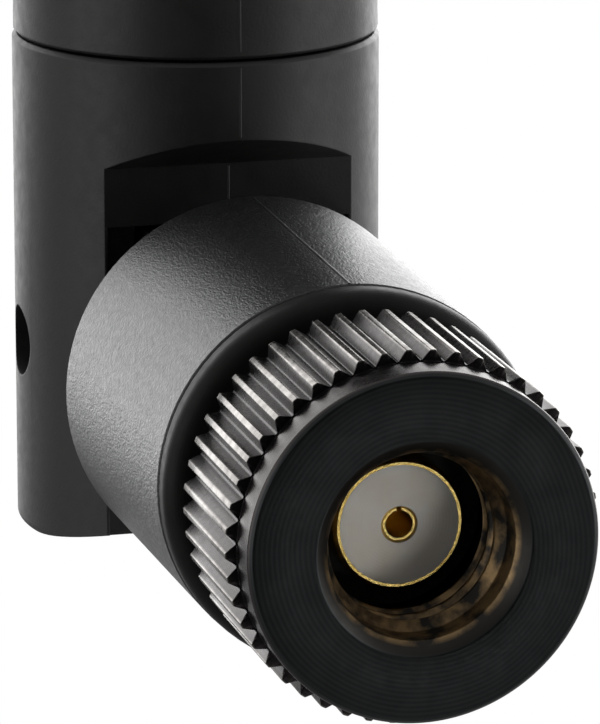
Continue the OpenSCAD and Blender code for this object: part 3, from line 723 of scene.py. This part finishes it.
shell, tree, shader = finish("satin_shell", SHELL_BLACK, roughness=0.44)
place = on_piece(tree)
cloudy = ranged(tree, grain(tree, place, size_mm=3.0, detail=4.0), 0.0, 1.0)
two_tone(tree, shader, cloudy, SHELL_BLACK, SHELL_GREY)
polish = ranged(tree, grain(tree, place, size_mm=0.5, detail=5.0), *SHELL_ROUGHNESS)
tree.links.new(polish, shader.inputs["Roughness"])
fine = grain(tree, place, size_mm=0.11, detail=4.0)
broad = maths(tree, "MULTIPLY", grain(tree, place, size_mm=2.2, detail=2.0), SHELL_WAVES)
relief(tree, shader, maths(tree, "ADD", fine, broad), depth_mm=0.006, soft_edge_mm=0.07)
dress("yoke", shell)
dress("radome", shell)


def mast_line(name, heights, from_axis_mm):
    """A mould line up the front (a negative distance) or the back of the mast, at the distance
    from the mast's axis given for each height."""
    route = np.stack([0 * heights, MAST_AXIS_Y + from_axis_mm, heights], axis=-1)
    slope = np.gradient(from_axis_mm, heights)
    out_way = np.stack([0 * heights, np.ones_like(heights), -slope], axis=-1)
    out_way *= np.sign(from_axis_mm[:1, None]) / np.linalg.norm(out_way, axis=1, keepdims=True)
    across_way = np.tile([1.0, 0.0, 0.0], (len(route), 1))
    line = mould_line(name, route, out_way, across_way, LINE_WIDTH, LINE_HEIGHT)
    line.data.materials.append(shell)
    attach(line, "mast")


yoke_front = np.linspace(*FRONT_LINE)
mast_line("yoke_line_front", yoke_front, np.full(len(yoke_front), -MAST_R))
recess = np.linspace(*RECESS_LINE)
mast_line("yoke_line_recess", recess, np.full(len(recess), -FLAT_FROM_AXIS))
radome_side = np.linspace(*RADOME_LINE)
radome_r = np.interp(radome_side, [YOKE_TOP, RADOME_TAPER_END], [RADOME_R, TIP_R])
mast_line("radome_line_front", radome_side, -radome_r)
mast_line("radome_line_back", radome_side[BACK_LINE_FROM_ROW:], radome_r[BACK_LINE_FROM_ROW:])


# ---------------------------------------------------------------- cable
# A thin coaxial cable runs from the crimp through the elbow, bends round the hinge and goes up the
# mast. Its jacket is extruded, and its braid and core are bared at both ends.
JACKET = (0.013, 0.013, 0.0135)
JACKET_SHINE = (0.028, 0.028, 0.028)
CABLE_R = 0.9
BEND_R = 6.0
BEND_ROWS = 49
BEND_COLUMNS = 32
BRAID = (0.72, 0.42, 0.26)
BRAID_DARK = (0.30, 0.16, 0.09)
BRAID_STRANDS = 1.6
BRAID_LEAN = math.radians(40)

jacket, tree, shader = finish("cable_jacket", JACKET, roughness=0.4)
place = on_piece(tree)
two_tone(tree, shader, ranged(tree, grain(tree, place, size_mm=0.7), 0.0, 1.0), JACKET, JACKET_SHINE)
relief(tree, shader, grain(tree, place, size_mm=0.15), depth_mm=0.005)
for node in ("cable_elbow", "cable_mast", "ferrule_sleeve"):
    dress(node, jacket)


def bent_cable():
    """A quarter circle from the connector axis up to the mast's axis, with a circle carried along
    it. The bend's centre is BEND_R above the one axis and BEND_R in front of the other."""
    bend = np.linspace(0, math.pi / 2, BEND_ROWS)[:, None]
    around = np.linspace(0, 2 * math.pi, BEND_COLUMNS, endpoint=False)[None, :]
    from_centre = BEND_R + CABLE_R * np.cos(around)
    along = MAST_AXIS_Y - BEND_R + from_centre * np.sin(bend)
    height = BEND_R - from_centre * np.cos(bend)
    sideways = np.broadcast_to(CABLE_R * np.sin(around), along.shape)
    return np.stack([sideways, along, height], axis=-1)


bent = solid_from_grid("cable_bend", bent_cable(), ring_of_rows=False, sharp_degrees=60.0)
bent.data.materials.append(jacket)
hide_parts("cable_hinge")
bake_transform(bent)

braid, tree, shader = finish("copper_braid", BRAID, roughness=0.35, metallic=1.0)
place = on_piece(tree)
crossing = []
for lean in (1.0, -1.0):
    strands = tree.nodes.new("ShaderNodeTexWave")
    strands.inputs["Scale"].default_value = BRAID_STRANDS
    turned = tree.nodes.new("ShaderNodeMapping")
    turned.inputs["Rotation"].default_value = (0.0, lean * BRAID_LEAN, lean * BRAID_LEAN)
    tree.links.new(place, turned.inputs["Vector"])
    tree.links.new(turned.outputs["Vector"], strands.inputs["Vector"])
    crossing.append(strands.outputs["Fac"])
weave = maths(tree, "MAXIMUM", *crossing)
two_tone(tree, shader, weave, BRAID_DARK, BRAID)
relief(tree, shader, weave, depth_mm=0.03)
for node in ("cable_braid_front", "cable_braid_top"):
    dress(node, braid)
for node in ("cable_core_front", "cable_core_top"):
    dress(node, wax)


# ---------------------------------------------------------------- radiator
# Bare copper and drawn brass inside the mast: the centre wire, the quarter-wave sleeve with its cap,
# and the upper wire with its phasing coil. The parts are soldered to the cable.
COPPER = (0.80, 0.40, 0.24)
COPPER_DULL = (0.45, 0.22, 0.14)
BRASS = (0.74, 0.56, 0.25)
BRASS_DULL = (0.42, 0.31, 0.15)
DRAWN_ROUGHNESS = (0.22, 0.44)
# the streaks are this much longer up the mast than they are wide
UP_THE_MAST = (1.0, 1.0, 0.08)


def drawn_metal(name, bright, dull):
    """Metal drawn through a die: dull patches, and streaks that run the long way of the mast."""
    metal, tree, shader = finish(name, bright, roughness=0.3, metallic=1.0)
    streaks = grain(tree, on_piece(tree, stretch=UP_THE_MAST), size_mm=0.12, detail=4.0)
    patches = grain(tree, on_piece(tree), size_mm=1.5, detail=4.0)
    two_tone(tree, shader, ranged(tree, patches, 0.0, 1.0), dull, bright)
    tree.links.new(ranged(tree, streaks, *DRAWN_ROUGHNESS), shader.inputs["Roughness"])
    relief(tree, shader, streaks, depth_mm=0.003)
    return metal


copper = drawn_metal("copper_wire", COPPER, COPPER_DULL)
brass = drawn_metal("brass_tube", BRASS, BRASS_DULL)
for node in ("cable_wire_front", "cable_wire_top", "radiator"):
    dress(node, copper)
for node in ("lower_sleeve", "sleeve_cap"):
    dress(node, brass)


# ---------------------------------------------------------------- former and spacers
# The coil sits on a white plastic rod, and two pieces of closed-cell foam keep the sleeve and the
# tip of the wire in the middle of the radome.
FOAM = (0.62, 0.62, 0.58)
FOAM_SHADE = (0.45, 0.45, 0.41)
CELLS_PER_MM = 2.6

dress("coil_former", nylon)
foam, tree, shader = finish("closed_cell_foam", FOAM, roughness=0.85)
cells = tree.nodes.new("ShaderNodeTexVoronoi")
cells.inputs["Scale"].default_value = CELLS_PER_MM
tree.links.new(on_piece(tree), cells.inputs["Vector"])
wall = cells.outputs["Distance"]
shade = ranged(tree, wall, 0.0, 1.0, from_low=0.1, from_high=0.6)
two_tone(tree, shader, shade, FOAM, FOAM_SHADE)
relief(tree, shader, wall, depth_mm=0.12)
dress("sleeve_spacer", foam)
dress("top_spacer", foam)
